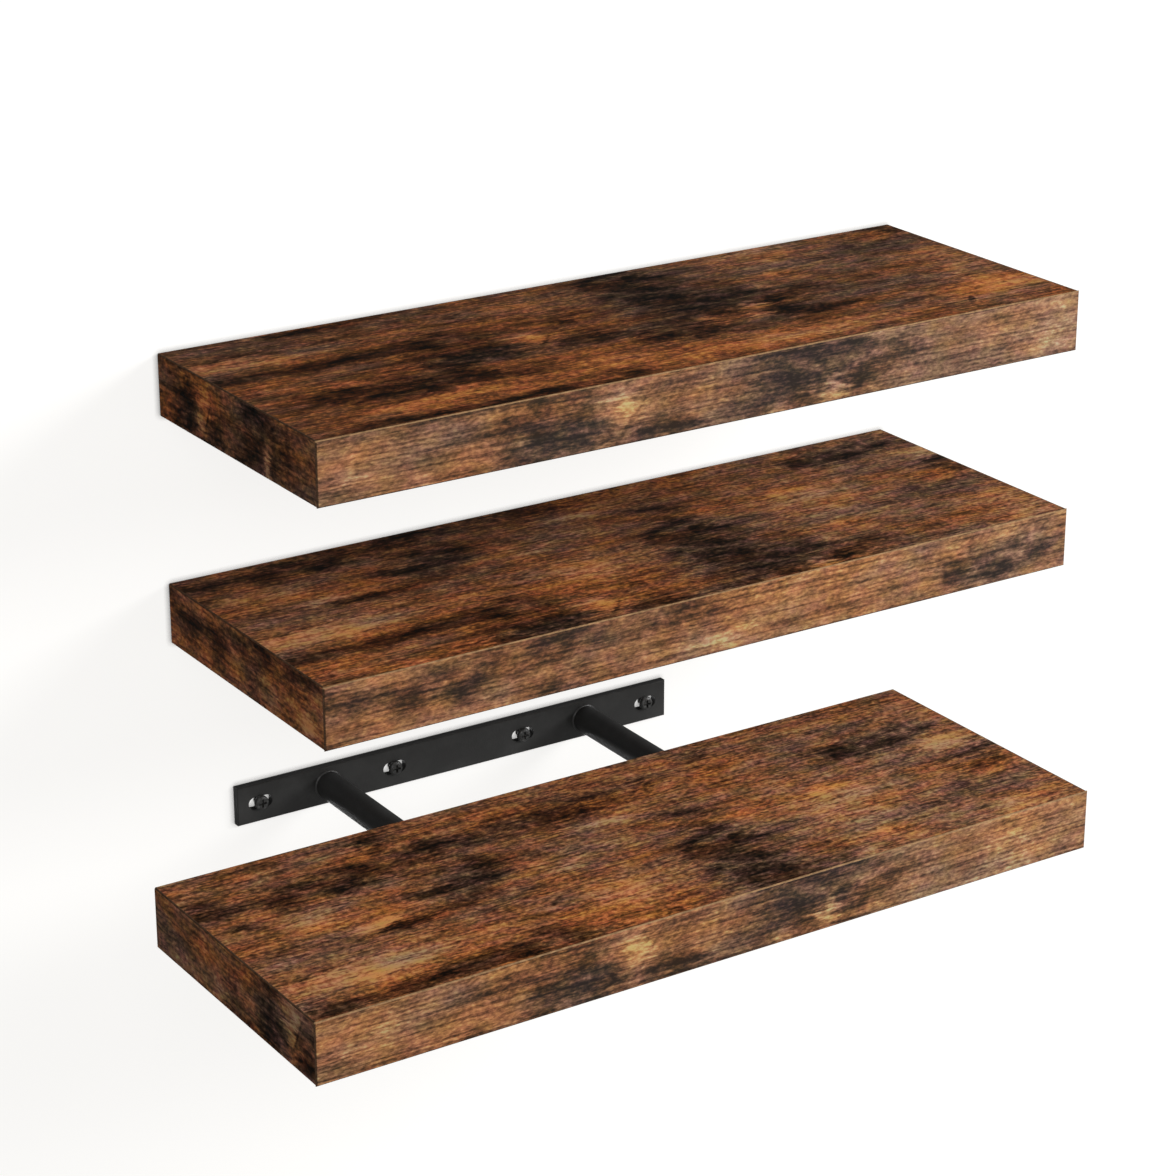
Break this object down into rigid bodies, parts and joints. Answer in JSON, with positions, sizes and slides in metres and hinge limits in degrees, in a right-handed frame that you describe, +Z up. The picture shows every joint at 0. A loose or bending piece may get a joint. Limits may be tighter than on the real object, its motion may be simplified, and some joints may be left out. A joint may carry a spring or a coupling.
{
  "type": "wall shelf",
  "caption": "Tiered floating wall shelf: hollow rustic-brown boards that slide onto the rods of slotted black steel wall brackets.",
  "frame": {"origin": "centre of the middle bracket's row of screws, on the wall plane that its bar lies against", "axes": "+X along the shelves, to the right as seen from the front; +Y into the wall; +Z up"},
  "size_m": [0.476, 0.27, 0.248],
  "materials": {
    "rustic_brown_print": "satin printed wood grain, smoky dark patches",
    "rustic_brown_band": "satin printed wood grain, lighter and greyer than the faces",
    "raw_fibreboard": "raw sawn fibreboard",
    "honeycomb_paper": "brown kraft paper",
    "black_powder_coat": "satin black powder coat on steel",
    "black_screw_finish": "black phosphate on steel"
  },
  "bodies": {
    "wall_brackets": {"top_bracket_wall_bar": "black_powder_coat", "top_bracket_left_rod": "black_powder_coat", "top_bracket_right_rod": "black_powder_coat", "top_bracket_wall_screws": "black_screw_finish", "middle_bracket_wall_bar": "black_powder_coat", "middle_bracket_left_rod": "black_powder_coat", "middle_bracket_right_rod": "black_powder_coat", "middle_bracket_wall_screws": "black_screw_finish", "bottom_bracket_wall_bar": "black_powder_coat", "bottom_bracket_left_rod": "black_powder_coat", "bottom_bracket_right_rod": "black_powder_coat", "bottom_bracket_wall_screws": "black_screw_finish"},
    "top_shelf": {"top_shelf_upper_panel": "rustic_brown_print", "top_shelf_lower_panel": "rustic_brown_print", "top_shelf_front_edge_band": "rustic_brown_band", "top_shelf_left_edge_band": "rustic_brown_band", "top_shelf_right_edge_band": "rustic_brown_band", "top_shelf_front_rail": "raw_fibreboard", "top_shelf_back_rail": "raw_fibreboard", "top_shelf_left_end_rail": "raw_fibreboard", "top_shelf_right_end_rail": "raw_fibreboard", "top_shelf_left_rod_block": "raw_fibreboard", "top_shelf_right_rod_block": "raw_fibreboard", "top_shelf_honeycomb_core": "honeycomb_paper"},
    "middle_shelf": {"middle_shelf_upper_panel": "rustic_brown_print", "middle_shelf_lower_panel": "rustic_brown_print", "middle_shelf_front_edge_band": "rustic_brown_band", "middle_shelf_left_edge_band": "rustic_brown_band", "middle_shelf_right_edge_band": "rustic_brown_band", "middle_shelf_front_rail": "raw_fibreboard", "middle_shelf_back_rail": "raw_fibreboard", "middle_shelf_left_end_rail": "raw_fibreboard", "middle_shelf_right_end_rail": "raw_fibreboard", "middle_shelf_left_rod_block": "raw_fibreboard", "middle_shelf_right_rod_block": "raw_fibreboard", "middle_shelf_honeycomb_core": "honeycomb_paper"},
    "bottom_shelf": {"bottom_shelf_upper_panel": "rustic_brown_print", "bottom_shelf_lower_panel": "rustic_brown_print", "bottom_shelf_front_edge_band": "rustic_brown_band", "bottom_shelf_left_edge_band": "rustic_brown_band", "bottom_shelf_right_edge_band": "rustic_brown_band", "bottom_shelf_front_rail": "raw_fibreboard", "bottom_shelf_back_rail": "raw_fibreboard", "bottom_shelf_left_end_rail": "raw_fibreboard", "bottom_shelf_right_end_rail": "raw_fibreboard", "bottom_shelf_left_rod_block": "raw_fibreboard", "bottom_shelf_right_rod_block": "raw_fibreboard", "bottom_shelf_honeycomb_core": "honeycomb_paper"}
  },
  "joints": [
    {"name": "top_shelf_slide", "type": "slide", "parent": "wall_brackets", "child": "top_shelf", "axis": [0, -1, 0], "range_m": [0, 0.105]},
    {"name": "middle_shelf_slide", "type": "slide", "parent": "wall_brackets", "child": "middle_shelf", "axis": [0, -1, 0], "range_m": [0, 0.105]},
    {"name": "bottom_shelf_slide", "type": "slide", "parent": "wall_brackets", "child": "bottom_shelf", "axis": [0, -1, 0], "range_m": [-0.088, 0.017]}
  ]
}
